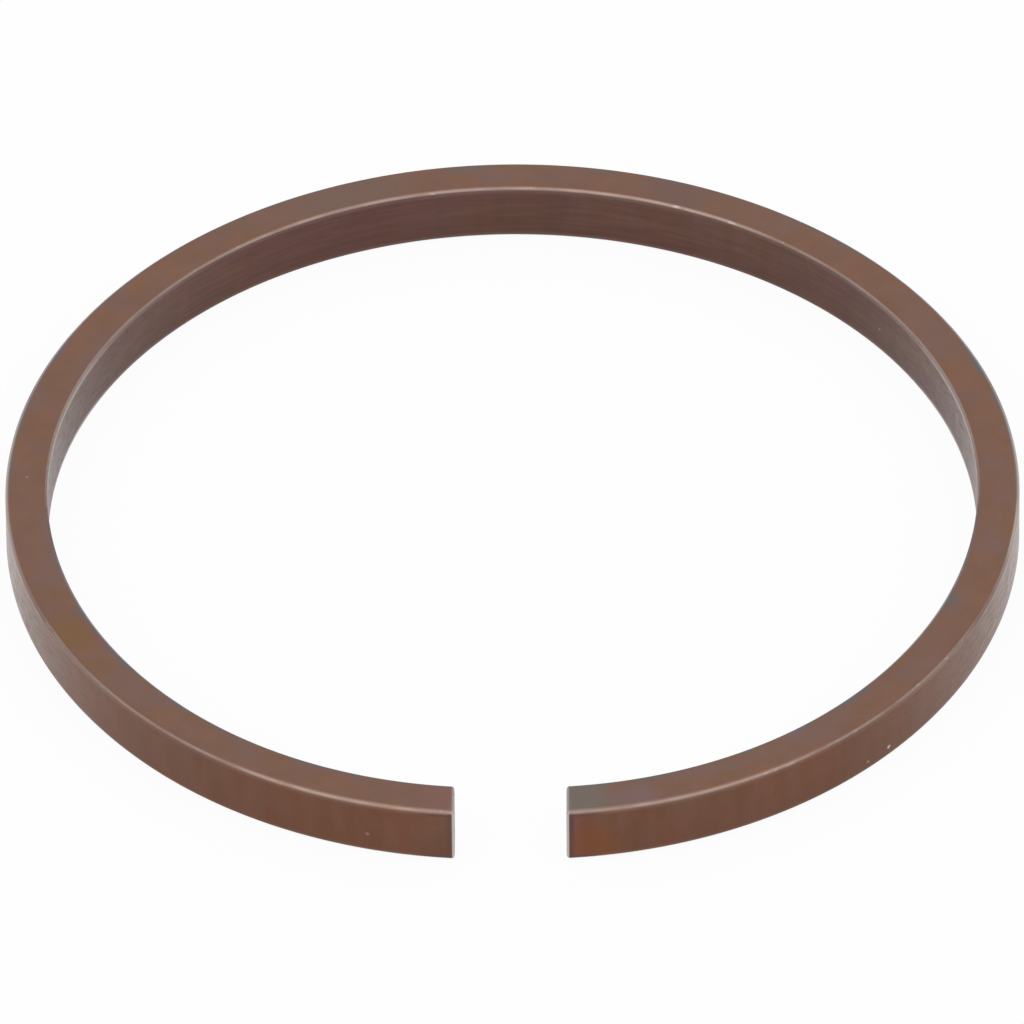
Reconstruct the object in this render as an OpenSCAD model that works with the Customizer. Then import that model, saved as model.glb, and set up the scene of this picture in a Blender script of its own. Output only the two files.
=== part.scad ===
// A plain compression ring for a small bore: one piece of spring steel, split at a straight gap.
// It is drawn at rest, off the piston, with its gap standing open.
// In that state it isn't quite round: the back is three quarters of a true circle, and the two
// ends beside the gap curl in on a tighter arc, so that the ring presses evenly once it is closed.
// The axis is Z, the origin is on it at half the ring's width, and the gap faces -Y.

/* [Section] */
// Radial wall, from the inner face to the outer face
wall_t = 1.04; // [0.6:0.02:3]
// Width along the axis, for a 1/16 inch groove
ring_w = 1.57; // [0.8:0.01:5]
// Bevel that breaks the two edges of the outer face
outer_c = 0.1; // [0.02:0.01:0.25]
// Bevel that breaks the two edges of the inner face
inner_c = 0.08; // [0.02:0.01:0.25]

/* [Free form] */
// Outer diameter of the round back
back_od = 25; // [16:0.5:80]
// How much smaller the radius of each end arc is than that of the back
end_tighter = 0.7; // [0:0.05:1.5]

/* [Gap] */
// Gap between the two flat end faces
gap_w = 2.72; // [0.5:0.02:5]
// Bevel round the edges of each end face
end_c = 0.12; // [0.02:0.01:0.25]

/* [Hidden] */
$fn = 180;
browned_steel = "#7a5b4d";

// The back's arc, which leaves an eighth of a turn to each end
back_sweep = 270;
// How far below the X axis the back meets each end arc
join_angle = (back_sweep - 180) / 2;

back_r = back_od / 2;
end_r = back_r - end_tighter;
end_mid_r = end_r - wall_t / 2;
// An end arc's centre lies on the line from the axis to its join, so that the two arcs share a tangent
end_x = end_tighter * cos(join_angle);
end_y = -end_tighter * sin(join_angle);
// It stops inside the gap, half-way from the end face to the middle
end_sweep = 90 - join_angle + asin((end_x - gap_w / 4) / end_mid_r);
// Middle of the wall at an end face
end_mid_y = end_y - sqrt(end_mid_r ^ 2 - (gap_w / 2 - end_x) ^ 2);
// What a cutter reaches past the steel
past = 1;

// The section: a rectangle with its four corners cut, its outer face at radius r
function section(r) = let (x = r - wall_t, y = ring_w / 2) [
    [r - outer_c, -y], [r, outer_c - y], [r, y - outer_c], [r - outer_c, y],
    [x + inner_c, y], [x, y - inner_c], [x, inner_c - y], [x + inner_c, -y]
];

// A slot as wide as the gap that flares at 45 degrees at both of its mouths, which are at +-mouth
function flared_slot(mouth) = let (w = gap_w / 2, y = mouth - end_c, far = end_c + past) [
    [w, -y], [w, y], [w + far, y + far], [-w - far, y + far],
    [-w, y], [-w, -y], [-w - far, -y - far], [w + far, -y - far]
];

// An end arc, drawn with its join on the X axis of the back's circle
module end_arc() {
    translate([end_tighter, 0, 0]) rotate_extrude(angle = end_sweep) polygon(section(end_r));
}

// The ring before its gap is cut, drawn with its back from 0 to 270 degrees and then turned
module open_ring() {
    rotate([0, 0, -join_angle]) {
        rotate_extrude(angle = back_sweep) polygon(section(back_r));
        mirror([0, 1, 0]) end_arc();
        rotate([0, 0, back_sweep]) end_arc();
    }
}

// The straight cut with parallel faces, and the bevels on all four edges of each
module gap_cut() {
    rotate([90, 0, 0]) linear_extrude(back_r + past) polygon(flared_slot(ring_w / 2));
    translate([0, end_mid_y, -ring_w]) linear_extrude(2 * ring_w) polygon(flared_slot(wall_t / 2));
}

module piston_ring() {
    color(browned_steel) difference() {
        open_ring();
        gap_cut();
    }
}

piston_ring();
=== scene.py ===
import math

import bpy
from mathutils import Matrix, Vector


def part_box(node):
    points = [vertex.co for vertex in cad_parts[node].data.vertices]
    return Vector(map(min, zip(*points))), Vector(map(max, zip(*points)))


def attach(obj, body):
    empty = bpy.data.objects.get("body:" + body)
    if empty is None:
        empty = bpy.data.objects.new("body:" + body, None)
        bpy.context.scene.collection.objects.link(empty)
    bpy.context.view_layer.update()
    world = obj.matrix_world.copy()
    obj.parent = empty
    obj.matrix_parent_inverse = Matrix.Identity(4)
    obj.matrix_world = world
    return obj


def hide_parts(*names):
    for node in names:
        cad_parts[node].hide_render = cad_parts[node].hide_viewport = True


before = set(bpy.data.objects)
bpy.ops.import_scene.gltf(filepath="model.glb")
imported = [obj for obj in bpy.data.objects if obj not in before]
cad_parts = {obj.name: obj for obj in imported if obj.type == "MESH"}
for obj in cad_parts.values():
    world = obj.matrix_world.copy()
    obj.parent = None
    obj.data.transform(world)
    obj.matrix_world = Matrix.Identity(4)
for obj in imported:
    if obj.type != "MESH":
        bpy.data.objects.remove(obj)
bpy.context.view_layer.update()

ringLow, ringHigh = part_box("piston_ring")
print("frame loaded")


def linearColour(hexText):  # an sRGB hex value as linear RGBA
    parts = [int(hexText[i:i + 2], 16) / 255 for i in (1, 3, 5)]
    return [p / 12.92 if p <= 0.04045 else ((p + 0.055) / 1.055) ** 2.4 for p in parts] + [1.0]


def addNode(tree, kind, links=None, **settings):  # one node: its settings, then its inputs as values or as links
    node = tree.nodes.new(kind)
    for name, value in settings.items():
        setattr(node, name, value)
    for name, value in (links or {}).items():
        if isinstance(value, bpy.types.NodeSocket):
            tree.links.new(value, node.inputs[name])
        else:
            node.inputs[name].default_value = value
    return node


camera = {
    "azimuth": 0.555,  # degrees, a hair to the right of the gap
    "elevation": 40.43,
    "roll": -0.5,  # the photograph leans by half a degree
    "distance": 0.6206,  # metres from the ring's centre
    "lens": 884.5,  # mm: the photograph has almost no perspective
    "aim": (-0.000014, -0.0000615),  # metres that the lens looks past the centre, to the right and up
}


def addCamera(c):
    a, e, r = (math.radians(c[k]) for k in ("azimuth", "elevation", "roll"))
    back = Vector((math.sin(a) * math.cos(e), -math.cos(a) * math.cos(e), math.sin(e)))
    level = Vector((math.cos(a), math.sin(a), 0))
    upright = back.cross(level)
    right = level * math.cos(r) + upright * math.sin(r)
    up = upright * math.cos(r) - level * math.sin(r)
    data = bpy.data.cameras.new("camera")
    data.lens = c["lens"]
    view = bpy.data.objects.new("camera", data)
    bpy.context.scene.collection.objects.link(view)
    place = back * c["distance"] + right * c["aim"][0] + up * c["aim"][1]
    view.matrix_world = Matrix.Translation(place) @ Matrix((right, up, back)).transposed().to_4x4()
    bpy.context.scene.camera = view


addCamera(camera)
print("camera set")

studio = {
    "surroundings": 1.0,  # what the eye and the steel see all round
    "skylight": 0.9,  # what lights the floor from all round
    "floorTone": "#e9e9e9",
    "floorLift": 0.94,  # how far the floor shows as plain white; the rest of it carries the shadow
    "floorSize": 3.0,  # metres
    "lamps": (  # name, azimuth and elevation in degrees, metres away, size in metres, watts
        ("keyLamp", -36, 54, 0.45, 0.34, 0.22),
        ("fillLamp", 40, 52, 0.50, 0.40, 0.22),
        ("topLamp", 150, 82, 0.50, 0.36, 0.12),
    ),
}


def addStudio(s):
    world = bpy.data.worlds.new("whiteStudio")
    paper = bpy.data.materials.new("mattPaper")
    seen = {}  # 1 for the eye and for what metal or glass shows, 0 for what lights the floor
    for owner in (world, paper):
        owner.use_nodes = True
        tree = owner.node_tree
        tree.nodes.clear()
        path = addNode(tree, "ShaderNodeLightPath")
        total = path.outputs["Is Camera Ray"]
        for name in ("Is Glossy Ray", "Is Transmission Ray"):
            total = addNode(tree, "ShaderNodeMath", {0: total, 1: path.outputs[name]}, operation="ADD",
                            use_clamp=True).outputs[0]
        seen[owner.name] = total

    tree = world.node_tree
    strength = addNode(tree, "ShaderNodeMapRange", {0: seen[world.name], 3: s["skylight"], 4: s["surroundings"]})
    sky = addNode(tree, "ShaderNodeBackground", {"Color": (1, 1, 1, 1), "Strength": strength.outputs[0]})
    addNode(tree, "ShaderNodeOutputWorld", {"Surface": sky.outputs[0]})
    bpy.context.scene.world = world

    tree = paper.node_tree
    lit = addNode(tree, "ShaderNodeBsdfDiffuse", {"Color": linearColour(s["floorTone"])})
    plain = addNode(tree, "ShaderNodeEmission", {"Color": (1, 1, 1, 1), "Strength": 1.0})
    share = addNode(tree, "ShaderNodeMath", {0: seen[paper.name], 1: s["floorLift"]}, operation="MULTIPLY")
    both = addNode(tree, "ShaderNodeMixShader", {0: share.outputs[0], 1: lit.outputs[0], 2: plain.outputs[0]})
    addNode(tree, "ShaderNodeOutputMaterial", {"Surface": both.outputs[0]})
    half = s["floorSize"] / 2
    z = ringLow.z - 1e-6  # a hair under the ring, so that the two faces don't fight
    mesh = bpy.data.meshes.new("floor")
    mesh.from_pydata([(-half, -half, z), (half, -half, z), (half, half, z), (-half, half, z)], [], [(0, 1, 2, 3)])
    mesh.materials.append(paper)
    floor = bpy.data.objects.new("floor", mesh)
    bpy.context.scene.collection.objects.link(floor)

    for name, azimuth, elevation, distance, size, watts in s["lamps"]:
        a, e = math.radians(azimuth), math.radians(elevation)
        away = Vector((math.sin(a) * math.cos(e), -math.cos(a) * math.cos(e), math.sin(e)))
        data = bpy.data.lights.new(name, "AREA")
        data.size = size
        data.energy = watts
        lamp = bpy.data.objects.new(name, data)
        lamp.location = away * distance
        lamp.rotation_euler = away.to_track_quat("Z", "Y").to_euler()
        bpy.context.scene.collection.objects.link(lamp)


addStudio(studio)
bpy.context.scene.view_settings.view_transform = "Standard"
print("studio lit")

steel = {
    "colours": {
        "sideCoolRed": "#805f53",  # the flat sides, ground and browned
        "sideWarmRed": "#7f5c48",
        "sideCoolGreen": "#795d54",
        "sideWarmGreen": "#775a49",
        "outerCoolRed": "#775143",  # the outer face
        "outerWarmRed": "#714938",
        "outerCoolGreen": "#715345",
        "outerWarmGreen": "#6b4b3a",
        "innerCoolRed": "#6d4f46",  # the inner face
        "innerWarmRed": "#67493c",
        "innerCoolGreen": "#684f49",
        "innerWarmGreen": "#61493f",
        "mauve": "#75625f",  # drifts over the sides here and there
        "blueGrey": "#626567",  # along edges that weren't rubbed
        "purpleGrey": "#6f6164",
        "innerPurple": "#664645",  # long drifts on the inner face
        "streak": "#4f3830",  # in the drawing marks of the inner face; also painted shade low on the inner face, and the outer face's darkening towards its bottom
        "endShade": "#5c4745",  # on the walls, just before an end
        "endRed": "#79504a",  # and a little further from it
        "endFace": "#857672",
        "endHighlight": "#bcb0ad",  # painted highlight on the bevels round the end faces
        "wearAndHighlight": "#968279",  # paler steel on rubbed edges, and painted highlight where the edges face the front
        "edgeReflection": "#aea29e",  # painted reflection along the edges of the ring's two flanks, and on the walls below the pale lines
        "glint": "#b5a299",
    },
    "clouds": {  # soft patches: their size in mm out, up and along the ring, and how much finer detail they have
        "hue": ((0.38, 1.4, 0.42), 2.0),
        "redness": ((0.7, 1.8, 0.8), 2.0),
        "mauveDrift": ((0.9, 1.5, 2.2), 2.0),
        "innerDrift": ((2.0, 2.0, 5.0), 2.0),
        "rimBreak": ((0.8, 0.8, 1.3), 2.0),
        "rimHue": ((0.9, 0.9, 1.4), 1.0),
        "drawing": ((0.1, 0.1, 1.4), 3.0),
        "wear": ((0.35, 0.35, 1.0), 2.0),
        "sparkle": ((0.12, 0.12, 0.36), 2.0),
        "grain": ((0.06, 0.06, 0.36), 2.0),
    },
    "mauveShare": 0.35,
    "rimReach": 0.12,  # mm that the blue-grey of an edge reaches further into the side here and there
    "rimShare": 0.75,
    "lineWidth": 0.075,  # mm, half of the pale line on an edge: rubbed steel and painted highlight
    "lineShift": 0.015,  # mm that this line lies nearer to the wall on the flanks
    "stretches": {  # mm from the back's middle over which a thing comes in, on the outer edges and on the inner ones
        "highlightAndRubbed": ((22.6, 25.2), (21.0, 18.5)),
        "rimWhere": ((19.5, 17.0), (20.5, 23.0)),
        "shifted": ((31.0, 26.0), (7.0, 12.0)),
        "flank": ((29.0, 23.5), (8.0, 14.0)),
        "greyFront": ((26.0, 18.0), (20.5, 18.5)),
        "greyBack": ((14.5, 17.5), (11.0, 15.0)),
    },
    "spots": (  # heat marks: along, out and up in mm, radius in mm, colour, share, and the face it is on
        ((35.95, 0.0, 0.785), 1.2, "#716b65", 0.8, "isSide"),
        ((34.6, 0.25, 0.785), 0.8, "#7a666a", 0.5, "isSide"),
        ((-35.9, 0.1, 0.785), 0.9, "#825f59", 0.5, "isSide"),
        ((-4.2, 0.1, 0.785), 2.2, "#746159", 0.6, "isSide"),
        ((4.2, -0.1, 0.785), 1.2, "#715c57", 0.6, "isSide"),
        ((-24.6, 0.2, 0.785), 0.8, "#7d5d40", 0.7, "isSide"),
        ((-26.0, 0.3, 0.785), 0.6, "#7b5d45", 0.5, "isSide"),
        ((23.5, -0.8, 0.785), 0.75, "#5f6566", 0.9, "isSide"),
        ((28.2, -0.6, 0.785), 0.5, "#75636a", 0.7, "isSide"),
        ((30.0, -0.6, 0.785), 0.55, "#77646a", 0.7, "isSide"),
        ((-18.0, 0.85, 0.785), 0.5, "#5d6264", 0.8, "isSide"),
        ((-1.35, 0.75, 0.785), 0.8, "#6b635f", 0.8, "isSide"),
        ((2.1, 0.75, 0.785), 0.75, "#6b6161", 0.8, "isSide"),
        ((35.6, 0.52, -0.3), 0.75, "#7c4d2d", 0.55, "isWall"),
        # a paler stretch of the pale edge line: rubbed steel and painted highlight
        ((20.4, 0.5, 0.75), 1.3, "#bba797", 0.8, "edgeLine"),
        ((-18.46, 0.0, 0.785), 0.06, "#a98a78", 0.5, "isSide"),
        ((27.7, 0.52, -0.45), 0.075, "#d0bc9e", 0.8, "isWall"),
        ((28.4, 0.52, -0.47), 0.06, "#a3897b", 0.7, "isWall"),
        ((-34.2, 0.52, -0.2), 0.07, "#94786b", 0.7, "isWall"),
        ((-11.9, -0.52, 0.5), 0.09, "#4a3833", 0.8, "isWall"),
        ((-19.1, 0.52, -0.4), 0.1, "#6a5f62", 0.8, "isWall"),
    ),
    "wobble": 0.5,  # mm that the outlines of the larger ones wander
    "smallSpot": 0.2,
    "fleckCell": 1.5,  # mm between pale flecks, roughly
    "fleckRadius": 0.045,
    "roughness": (0.22, 0.34),
    "innerRougher": 0.08,  # the inner face is as drawn, so it is rougher
    "drawingDepth": 3e-6,  # metres
}


# Spring steel, ground flat on its sides and browned by the heat of tempering.
# The oxide gives soft patches of red, olive and mauve, and blue-grey along the edges; rubbed edges show paler steel.
# Painted highlight lies on the edge lines that face the front and on the end bevels, painted reflection on the flanks'
# edges, and painted shade low on the inner face.
def heatBrownedSteel(s, sizes):
    material = bpy.data.materials.new("heatBrownedGroundSteel")
    material.use_nodes = True
    tree = material.node_tree
    tree.nodes.clear()
    halfWall, halfWidth, edge = sizes["Wall"] * 500, sizes["Width"] * 500, sizes["Outer Edge"] * 1000  # mm

    # where a point is on the ring, in mm: out from the middle of the wall, up, along the ring, and from its end
    place = addNode(tree, "ShaderNodeAttribute", attribute_name="ringPlace").outputs["Vector"]
    parts = addNode(tree, "ShaderNodeSeparateXYZ", {0: place})
    values = dict(zip(("out", "up", "along"), parts.outputs))
    values["toEnd"] = addNode(tree, "ShaderNodeAttribute", attribute_name="ringToEnd").outputs["Fac"]
    for turn, (name, (size, detail)) in enumerate(s["clouds"].items()):
        moved = addNode(tree, "ShaderNodeMapping", {"Vector": place, "Location": (turn * 7.3,) * 3,
                                                    "Scale": [1 / mm for mm in size]})
        values[name] = addNode(tree, "ShaderNodeTexNoise", {"Vector": moved.outputs[0], "Scale": 1.0, "Detail": detail},
                               label=name).outputs["Fac"]
    cells = addNode(tree, "ShaderNodeTexVoronoi", {"Vector": place, "Scale": 1 / s["fleckCell"]}, feature="F1")
    values["fleckAway"] = cells.outputs["Distance"]
    fleckReach = s["fleckRadius"] / s["fleckCell"]

    stretches = []  # what comes in along the ring, at one place on the outer edges and another on the inner ones
    for name, (outer, inner) in s["stretches"].items():
        stretches += [(name + "Outer", "ease", "run", *outer), (name + "Inner", "ease", "run", *inner),
                      (name + "Unlike", "SUBTRACT", name + "Outer", name + "Inner"),
                      (name, "MULTIPLY_ADD", name + "Unlike", "isOuter", name + "Inner")]
    for name, operation, *terms in (
        ("across", "ABSOLUTE", "out"),
        ("height", "ABSOLUTE", "up"),
        ("run", "ABSOLUTE", "along"),
        ("isSide", "ease", "height", halfWidth - 0.75 * edge, halfWidth - 0.25 * edge),
        ("isWall", "SUBTRACT", 1.0, "isSide"),
        ("isOuter", "ease", "out", -0.1, 0.1),
        *stretches,
        ("hueShare", "even", "hue", 0.22, 0.78),
        ("redShare", "even", "redness", 0.26, 0.74),
        ("mauveShare", "ease", "mauveDrift", 0.5, 0.7, 0.0, s["mauveShare"]),
        # the pale edge lines, rubbed steel and painted highlight, on the front's outer edges and on the back's inner
        # ones
        ("fromOut", "SUBTRACT", "across", halfWall),
        ("fromTop", "SUBTRACT", "height", halfWidth),
        ("bevelSkew", "SUBTRACT", "fromOut", "fromTop"),  # mm from the middle of the bevel, towards the wall
        ("lineShift", "MULTIPLY", "shifted", s["lineShift"]),
        ("fromLine", "SUBTRACT", "bevelSkew", "lineShift"),
        ("offLine", "ABSOLUTE", "fromLine"),
        ("edgeLine", "ease", "offLine", s["lineWidth"], 0.2 * s["lineWidth"]),
        ("wearBreak", "ease", "wear", 0.32, 0.52, 0.65, 1.0),
        ("endIn", "ease", "toEnd", 0.0, 0.02),
        ("highlightAndRubbedHere", "MULTIPLY", "highlightAndRubbed", "endIn"),  # the end faces have no lines
        ("highlightAndRubbedLine", "MULTIPLY", "edgeLine", "highlightAndRubbedHere"),
        ("edgeWearAndHighlight", "MULTIPLY", "highlightAndRubbedLine", "wearBreak"),
        # painted reflection: the flanks' edges are as grey as the walls below them
        ("wallHalf", "ease", "bevelSkew", -0.06, 0.03),
        ("aboveWall", "ease", "bevelSkew", 0.22, 0.1, 0.0, 0.9),
        ("wallEdge", "MULTIPLY", "wallHalf", "aboveWall"),
        ("greyBand", "MULTIPLY", "greyFront", "greyBack"),
        ("flankReflection", "MULTIPLY", "wallEdge", "greyBand"),
        # painted reflection: below a pale edge line the wall is a little paler, and more so on the flanks
        ("tailDown", "ease", "bevelSkew", 0.2, 0.08),
        ("tailUp", "ease", "bevelSkew", 0.0, 0.08),
        ("tailHere", "MULTIPLY", "tailDown", "tailUp"),
        ("tailReflectionHere", "MULTIPLY", "tailHere", "highlightAndRubbedHere"),
        ("tailShare", "MULTIPLY_ADD", "flank", 0.3, 0.12),
        ("tail", "MULTIPLY", "tailReflectionHere", "tailShare"),
        ("edgeReflection", "MAXIMUM", "flankReflection", "tail"),
        ("darkLine", "MULTIPLY", "edgeLine", "rimWhere"),
        ("darkEdge", "MULTIPLY", "darkLine", 0.7),
        ("rimReach", "ease", "rimBreak", 0.46, 0.7, 0.0, s["rimReach"]),
        ("rimAcross", "ADD", "across", "rimReach"),
        ("rimNear", "ease", "rimAcross", halfWall - edge - 0.06, halfWall - 0.3 * edge, 0.0, s["rimShare"]),
        ("rim", "MULTIPLY", "rimNear", "rimWhere"),
        ("rimTone", "ease", "rimHue", 0.42, 0.58),
        # the ends: pale faces and bevels, painted highlight on the bevels' outer rims, and a painted shade on the walls
        # before them
        ("endOut", "ease", "toEnd", 0.11, 0.07),
        ("endBand", "MULTIPLY", "endIn", "endOut"),
        ("endSide", "MULTIPLY", "endBand", "isSide"),
        ("endSidePale", "MULTIPLY", "endSide", 0.3),
        ("endTip", "ease", "toEnd", 0.075, 0.045),
        ("endHighlight", "MULTIPLY", "endIn", "endTip"),
        ("endFlat", "SUBTRACT", 1.0, "endIn"),
        ("endGround", "MULTIPLY", "endFlat", 0.7),
        ("rightEnd", "GREATER_THAN", "along", 0.0),
        ("endNear", "ease", "toEnd", 0.22, 0.14),
        ("endDepth", "MULTIPLY_ADD", "rightEnd", 0.4, 0.45),
        ("endDark", "MULTIPLY", "endNear", "endDepth"),
        ("endShade", "MULTIPLY", "endDark", "isWall"),
        ("endReddish", "ease", "toEnd", 0.42, 0.26, 0.0, 0.7),
        ("endRed", "MULTIPLY", "endReddish", "rightEnd"),
        ("endTop", "MULTIPLY_ADD", "isSide", -0.5, 1.0),
        ("endRim", "MULTIPLY", "endHighlight", "endTop"),
        ("belowLine", "SUBTRACT", "bevelSkew", 0.13),
        ("offShade", "ABSOLUTE", "belowLine"),
        ("lineShade", "ease", "offShade", 0.06, 0.01),
        ("endStretch", "ease", "toEnd", 1.0, 0.4, 0.0, 0.75),
        ("underHere", "MULTIPLY", "endStretch", "endIn"),
        ("underLine", "MULTIPLY", "lineShade", "underHere"),
        # the pale lines: rubbed steel and painted highlight
        ("wearAndHighlight", "MAXIMUM", "edgeWearAndHighlight", "endSidePale"),
        ("brightHere", "ease", "sparkle", 0.64, 0.74, 0.0, 0.8),
        ("glints", "MULTIPLY", "wearAndHighlight", "brightHere"),
        ("streakShare", "ease", "drawing", 0.35, 0.65, 0.0, 0.3),
        # painted shade: the inner face darker towards its bottom; below it, the outer face a little darker towards its
        # bottom
        ("innerLowShade", "ease", "up", 0.2, -0.7, 0.0, 0.3),
        ("outerLow", "ease", "up", 0.4, -0.7, 0.0, 0.1),
        ("purpleShare", "ease", "innerDrift", 0.42, 0.6, 0.0, 0.6),
        ("fleck", "ease", "fleckAway", fleckReach, 0.4 * fleckReach, 0.0, 0.5),
        ("isInner", "SUBTRACT", 1.0, "isOuter"),
        ("innerWall", "MULTIPLY", "isInner", "isWall"),
        ("satin", "ease", "grain", 0.3, 0.7, *s["roughness"]),
        ("roughness", "MULTIPLY_ADD", "innerWall", s["innerRougher"], "satin"),
        ("marks", "MULTIPLY", "drawing", "innerWall"),
    ):
        if operation in ("ease", "even"):  # a value taken from one range to another, softly or straight
            kind, settings = "ShaderNodeMapRange", {"interpolation_type": "SMOOTHSTEP" if operation == "ease" else "LINEAR"}
        else:
            kind, settings = "ShaderNodeMath", {"operation": operation}
        links = {i: values[term] if isinstance(term, str) else term for i, term in enumerate(terms)}
        values[name] = addNode(tree, kind, links, label=name, **settings).outputs[0]

    # heat marks, whose outlines wander
    cloud = addNode(tree, "ShaderNodeTexNoise", {"Vector": place, "Scale": 1.3, "Detail": 1.0})
    wander = addNode(tree, "ShaderNodeVectorMath", {0: cloud.outputs["Color"], 1: (0.5, 0.5, 0.5)}, operation="SUBTRACT")
    wandered = addNode(tree, "ShaderNodeVectorMath", {0: wander.outputs[0], 1: (s["wobble"],) * 3, 2: place},
                       operation="MULTIPLY_ADD")
    tones = {name: linearColour(colour) for name, colour in s["colours"].items()}
    marks = []
    for number, ((along, out, up), radius, tone, share, face) in enumerate(s["spots"]):
        start = wandered.outputs[0] if radius > s["smallSpot"] else place
        away = addNode(tree, "ShaderNodeVectorMath", {0: start, 1: (out, up, along)}, operation="DISTANCE")
        near = addNode(tree, "ShaderNodeMapRange", {0: away.outputs["Value"], 1: radius, 2: radius * 0.3, 4: share},
                       interpolation_type="SMOOTHSTEP")
        name = "mark%d" % number
        values[name] = addNode(tree, "ShaderNodeMath", {0: near.outputs[0], 1: values[face]}, operation="MULTIPLY").outputs[0]
        tones[name] = linearColour(tone)
        marks.append((name, "base", name, "base"))

    # the colours, laid one over another: the share, what is below, what is above, and the name of the result
    faces = []
    for face in ("side", "outer", "inner"):
        faces += [("hueShare", face + "WarmRed", face + "CoolRed", face + "Red"),
                  ("hueShare", face + "WarmGreen", face + "CoolGreen", face + "Green"),
                  ("redShare", face + "Green", face + "Red", face)]
    for share, below, above, result in (
        *faces,
        ("rimTone", "blueGrey", "purpleGrey", "rim"),
        ("mauveShare", "side", "mauve", "side"),
        ("rim", "side", "rim", "side"),
        ("purpleShare", "inner", "innerPurple", "inner"),
        ("streakShare", "inner", "streak", "inner"),
        # painted shade low on the inner face, and the outer face darker towards its bottom
        ("innerLowShade", "inner", "streak", "inner"),
        ("outerLow", "outer", "streak", "outer"),
        ("isOuter", "inner", "outer", "walls"),
        ("endRed", "walls", "endRed", "walls"),
        ("endShade", "walls", "endShade", "walls"),
        ("isSide", "walls", "side", "base"),
        *marks,
        ("darkEdge", "base", "rim", "base"),
        # painted reflection on the flanks' edges and below the pale lines
        ("edgeReflection", "base", "edgeReflection", "base"),
        ("underLine", "base", "endShade", "base"),
        ("endGround", "base", "endFace", "base"),
        # pale edge lines: rubbed steel and painted highlight
        ("wearAndHighlight", "base", "wearAndHighlight", "base"),
        # painted highlight on the end bevels
        ("endRim", "base", "endHighlight", "base"),
        ("glints", "base", "glint", "base"),
        ("fleck", "base", "glint", "base"),
    ):
        tones[result] = addNode(tree, "ShaderNodeMix", {0: values[share], 6: tones[below], 7: tones[above]},
                                data_type="RGBA", label=result).outputs[2]

    bump = addNode(tree, "ShaderNodeBump", {"Height": values["marks"], "Strength": 0.35, "Distance": s["drawingDepth"]})
    surface = addNode(tree, "ShaderNodeBsdfPrincipled", {"Base Color": tones["base"], "Metallic": 1.0,
                                                         "Roughness": values["roughness"], "Normal": bump.outputs[0]})
    addNode(tree, "ShaderNodeOutputMaterial", {"Surface": surface.outputs[0]})
    return material


ringSizes = {  # metres
    "Back Radius": 0.0125,  # outer radius of the round back
    "End Tighter": 0.0007,  # how much smaller the radius of each end arc is
    "Wall": 0.00104,
    "Width": 0.00157,
    "Gap": 0.00272,
    "Outer Edge": 0.0001,  # bevel on the two edges of the outer face
    "Inner Edge": 0.00008,
    "End Edge": 0.00012,  # bevel round the end faces
    "Softness": 0.00005,  # rounding of the bevels' own edges
    "Squaring": 0.0008,  # from how far before an end the section turns square to the gap
}
ringSteps = 720  # rings of points along the steel
softSteps = 3  # faces round each edge of a bevel


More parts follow.
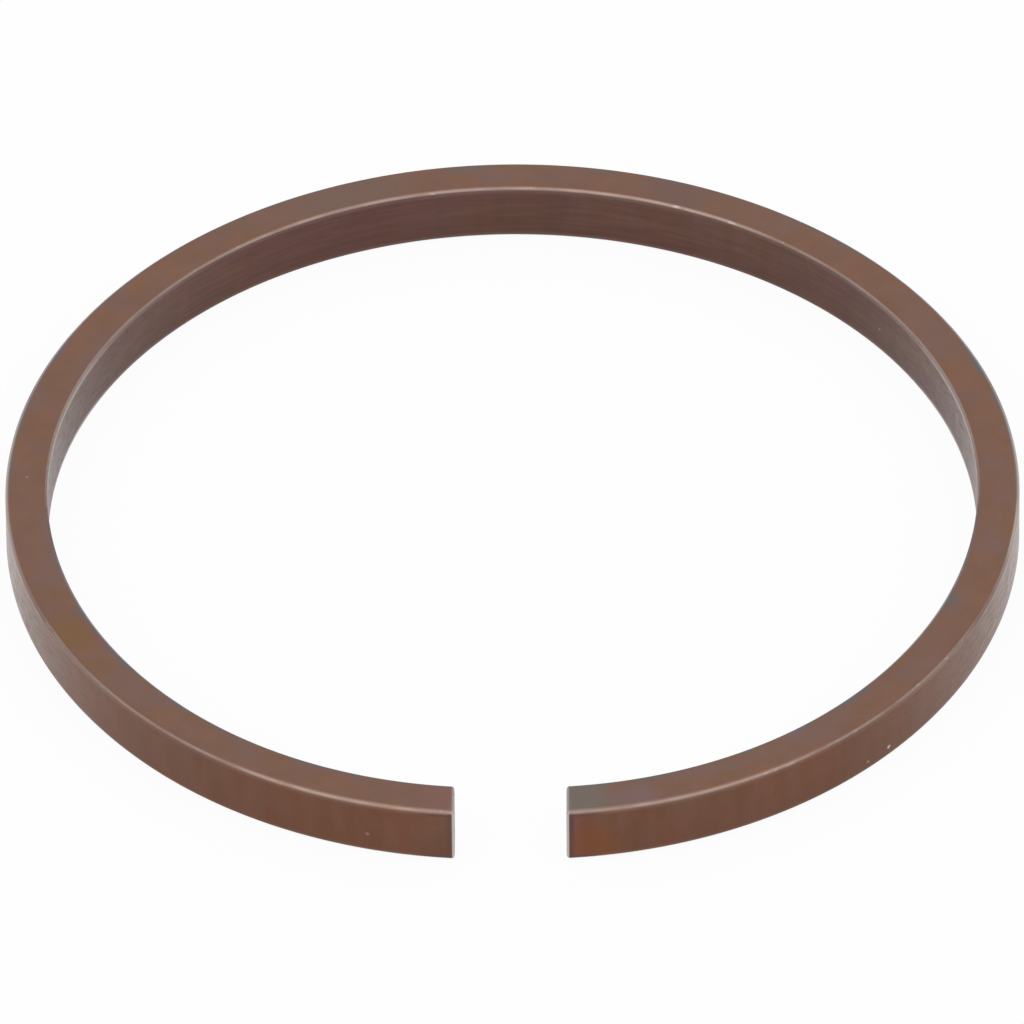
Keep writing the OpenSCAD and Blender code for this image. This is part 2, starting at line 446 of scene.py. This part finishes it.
# The centre line is three arcs that share tangents: a round back of 270 degrees, and a tighter arc to each end.
# A straight line of points is laid on it, a section is swept along, and each end is squared to the gap and bevelled.
def ringTree():
    tree = bpy.data.node_groups.new("freeFormRing", "GeometryNodeTree")
    for name in ringSizes:
        tree.interface.new_socket(name, in_out="INPUT", socket_type="NodeSocketFloat")
    tree.interface.new_socket("Steps", in_out="INPUT", socket_type="NodeSocketInt")
    tree.interface.new_socket("Soft Steps", in_out="INPUT", socket_type="NodeSocketInt")
    tree.interface.new_socket("Steel", in_out="INPUT", socket_type="NodeSocketMaterial")
    tree.interface.new_socket("Geometry", in_out="OUTPUT", socket_type="NodeSocketGeometry")
    given = addNode(tree, "NodeGroupInput")
    sums = {socket.name: socket for socket in given.outputs if socket.name}

    # what is kept of each point of the line, and of each point of the section, until they are swept together
    line = addNode(tree, "GeometryNodeCurvePrimitiveLine", {"Start": (0, 0, 0), "End": (1, 0, 0)})
    points = addNode(tree, "GeometryNodeResampleCurve", {"Curve": line.outputs[0], "Count": sums["Steps"]})
    ofLine = addNode(tree, "GeometryNodeCaptureAttribute", {"Geometry": points.outputs[0]}, domain="POINT")
    for name in ("centre", "outwards", "endwards"):
        ofLine.capture_items.new("VECTOR", name)
    for name in ("toEnd", "along"):
        ofLine.capture_items.new("FLOAT", name)
    ofSection = addNode(tree, "GeometryNodeCaptureAttribute", domain="POINT")
    ofSection.capture_items.new("VECTOR", "spot")
    spot = addNode(tree, "GeometryNodeInputPosition").outputs[0]
    sums["spotX"] = addNode(tree, "ShaderNodeSeparateXYZ", {0: spot}).outputs["X"]
    sums["share"] = addNode(tree, "GeometryNodeSplineParameter").outputs["Factor"]
    keptSpot = addNode(tree, "ShaderNodeSeparateXYZ", {0: ofSection.outputs["spot"]})
    sums["out"], sums["up"], sums["left"] = keptSpot.outputs["X"], keptSpot.outputs["Y"], ofLine.outputs["toEnd"]
    crowding = 0.9  # 0 would space the points evenly, and near 1 they crowd at both ends, for the bevels there
    fullness = 2.0  # of the ends' bevels: 1 would be straight and 2 round

    for name, operation, *parts in (
        ("halfWall", "MULTIPLY", "Wall", 0.5),
        ("halfWidth", "MULTIPLY", "Width", 0.5),
        ("halfGap", "MULTIPLY", "Gap", 0.5),
        ("backMid", "SUBTRACT", "Back Radius", "halfWall"),
        ("endMid", "SUBTRACT", "backMid", "End Tighter"),
        ("shift", "MULTIPLY", "End Tighter", math.sin(math.pi / 4)),  # of an end arc's centre, across and forwards
        ("endAcross", "SUBTRACT", "halfGap", "shift"),
        ("endSine", "DIVIDE", "endAcross", "endMid"),
        ("endAngle", "ARCSINE", "endSine"),
        ("endSlope", "TANGENT", "endAngle"),
        ("backHalf", "MULTIPLY", "backMid", math.pi * 0.75),
        ("endSweep", "SUBTRACT", math.pi / 4, "endAngle"),
        ("endHalf", "MULTIPLY", "endMid", "endSweep"),
        ("half", "ADD", "backHalf", "endHalf"),
        # how far a point of the line is from the back's middle, and from its end
        ("even", "MULTIPLY_ADD", "share", 2.0, -1.0),
        ("phase", "MULTIPLY", "even", math.pi),
        ("wave", "SINE", "phase"),
        ("crowded", "MULTIPLY_ADD", "wave", crowding / math.pi, "even"),
        ("hand", "SIGN", "crowded"),
        ("along", "MULTIPLY", "crowded", "half"),
        ("far", "ABSOLUTE", "along"),
        ("toEnd", "SUBTRACT", "half", "far"),
        # how far round the back, and then round an end arc, and its place and directions there
        ("onBack", "MINIMUM", "far", "backHalf"),
        ("onEnd", "SUBTRACT", "far", "onBack"),
        ("isEnd", "GREATER_THAN", "onEnd", 0.0),
        ("backTurn", "DIVIDE", "onBack", "backMid"),
        ("endTurn", "DIVIDE", "onEnd", "endMid"),
        ("turn", "ADD", "backTurn", "endTurn"),
        ("sine", "SINE", "turn"),
        ("cosine", "COSINE", "turn"),
        ("tighter", "MULTIPLY", "End Tighter", "isEnd"),
        ("radius", "SUBTRACT", "backMid", "tighter"),
        ("pushed", "MULTIPLY", "shift", "isEnd"),
        ("across", "MULTIPLY_ADD", "radius", "sine", "pushed"),
        ("x", "MULTIPLY", "across", "hand"),
        ("forth", "MULTIPLY", "radius", "cosine"),
        ("y", "SUBTRACT", "forth", "pushed"),
        ("outX", "MULTIPLY", "sine", "hand"),
        ("endX", "MULTIPLY", "cosine", "hand"),
        ("endY", "MULTIPLY", "sine", -1.0),
        # the bevel at a corner of the section
        ("isOut", "GREATER_THAN", "spotX", 0.0),
        ("more", "SUBTRACT", "Outer Edge", "Inner Edge"),
        ("bevel", "MULTIPLY_ADD", "more", "isOut", "Inner Edge"),
        # near an end the section shrinks by its bevel
        ("leftShare", "DIVIDE", "left", "End Edge"),
        ("into", "SUBTRACT", 1.0, "leftShare"),
        ("intoEnd", "MAXIMUM", "into", 0.0),
        ("raised", "POWER", "intoEnd", fullness),
        ("rest", "SUBTRACT", 1.0, "raised"),
        ("root", "POWER", "rest", 1 / fullness),
        ("cutShare", "SUBTRACT", 1.0, "root"),
        ("cut", "MULTIPLY", "End Edge", "cutShare"),
        ("outMost", "SUBTRACT", "halfWall", "cut"),
        ("outLeast", "MULTIPLY", "outMost", -1.0),
        ("upMost", "SUBTRACT", "halfWidth", "cut"),
        ("upLeast", "MULTIPLY", "upMost", -1.0),
        ("outBelow", "MINIMUM", "out", "outMost"),
        ("outPlace", "MAXIMUM", "outBelow", "outLeast"),
        ("upBelow", "MINIMUM", "up", "upMost"),
        ("upPlace", "MAXIMUM", "upBelow", "upLeast"),
        # and it slides along until it is square to the gap
        ("lean", "MULTIPLY", "outPlace", "endSlope"),
        ("fadeLength", "MULTIPLY", "Squaring", 0.75),
        ("inside", "SUBTRACT", "Squaring", "left"),
        ("insideShare", "DIVIDE", "inside", "fadeLength"),
        ("started", "MAXIMUM", "insideShare", 0.0),
        ("squared", "MINIMUM", "started", 1.0),
        ("slide", "MULTIPLY", "lean", "squared"),
    ):
        terms = {i: sums[part] if isinstance(part, str) else part for i, part in enumerate(parts)}
        sums[name] = addNode(tree, "ShaderNodeMath", terms, operation=operation, label=name).outputs[0]

    for name, x, y in (("centre", "x", "y"), ("outwards", "outX", "cosine"), ("endwards", "endX", "endY")):
        sums[name] = addNode(tree, "ShaderNodeCombineXYZ", {"X": sums[x], "Y": sums[y]}, label=name).outputs[0]
    for name in ("centre", "outwards", "endwards", "toEnd", "along"):
        tree.links.new(sums[name], ofLine.inputs[name])

    # the section: a rectangle with bevelled corners, whose own corners are softened
    section = addNode(tree, "GeometryNodeCurvePrimitiveQuadrilateral", {"Width": sums["Wall"], "Height": sums["Width"]})
    for radius, count in (("bevel", 1), ("Softness", sums["Soft Steps"])):
        section = addNode(tree, "GeometryNodeFilletCurve", {"Curve": section.outputs[0], "Radius": sums[radius],
                                                            "Count": count}, mode="POLY")
    tree.links.new(section.outputs[0], ofSection.inputs["Geometry"])
    tree.links.new(spot, ofSection.inputs["spot"])
    bar = addNode(tree, "GeometryNodeCurveToMesh", {"Curve": ofLine.outputs[0], "Profile Curve": ofSection.outputs[0],
                                                    "Fill Caps": True})

    # each point of the bar goes to its centre, then out, along and up from there
    place = ofLine.outputs["centre"]
    for direction, length in ((ofLine.outputs["outwards"], "outPlace"), (ofLine.outputs["endwards"], "slide"),
                              ((0, 0, 1), "upPlace")):
        step = addNode(tree, "ShaderNodeVectorMath", {0: direction, "Scale": sums[length]}, operation="SCALE")
        place = addNode(tree, "ShaderNodeVectorMath", {0: place, 1: step.outputs[0]}, operation="ADD").outputs[0]
    ring = addNode(tree, "GeometryNodeSetPosition", {"Geometry": bar.outputs[0], "Position": place})

    # what the steel's patterns follow, in mm
    where = addNode(tree, "ShaderNodeCombineXYZ", {"X": sums["outPlace"], "Y": sums["upPlace"],
                                                   "Z": ofLine.outputs["along"]})
    for name, kind, value in (("ringPlace", "FLOAT_VECTOR", where.outputs[0]), ("ringToEnd", "FLOAT", sums["left"])):
        inMillimetres = addNode(tree, "ShaderNodeVectorMath", {0: value, "Scale": 1000.0}, operation="SCALE")
        ring = addNode(tree, "GeometryNodeStoreNamedAttribute", {"Geometry": ring.outputs[0], "Name": name,
                                                                 "Value": inMillimetres.outputs[0]},
                       data_type=kind, domain="POINT")
    merged = addNode(tree, "GeometryNodeMergeByDistance", {"Geometry": ring.outputs[0], "Distance": 5e-7})
    smooth = addNode(tree, "GeometryNodeSetShadeSmooth", {"Geometry": merged.outputs[0]})
    real = addNode(tree, "GeometryNodeRealizeInstances", {"Geometry": smooth.outputs[0]})
    dressed = addNode(tree, "GeometryNodeSetMaterial", {"Geometry": real.outputs[0], "Material": sums["Steel"]})
    addNode(tree, "NodeGroupOutput", {"Geometry": dressed.outputs[0]})
    return tree


def makeRing():
    holder = bpy.data.objects.new("ringTree", bpy.data.meshes.new("ringTree"))
    bpy.context.scene.collection.objects.link(holder)
    nodes = holder.modifiers.new("freeForm", "NODES")
    nodes.node_group = ringTree()
    values = {**ringSizes, "Steps": ringSteps, "Soft Steps": softSteps, "Steel": heatBrownedSteel(steel, ringSizes)}
    for item in nodes.node_group.interface.items_tree:
        if item.in_out == "INPUT":
            nodes[item.identifier] = values[item.name]
    mesh = bpy.data.meshes.new_from_object(holder.evaluated_get(bpy.context.evaluated_depsgraph_get()))
    mesh.name = "sprung_ring"
    bpy.data.objects.remove(holder)
    normals = [Vector() for vertex in mesh.vertices]  # a large face counts for more, so flat faces look flat
    for face in mesh.polygons:
        for index in face.vertices:
            normals[index] += face.normal * face.area
    mesh.normals_split_custom_set_from_vertices([normal.normalized() for normal in normals])
    ring = bpy.data.objects.new("sprung_ring", mesh)
    bpy.context.scene.collection.objects.link(ring)
    return ring


ring = makeRing()
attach(ring, "root")
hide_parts("piston_ring")
print("ring made:", len(ring.data.polygons), "faces")
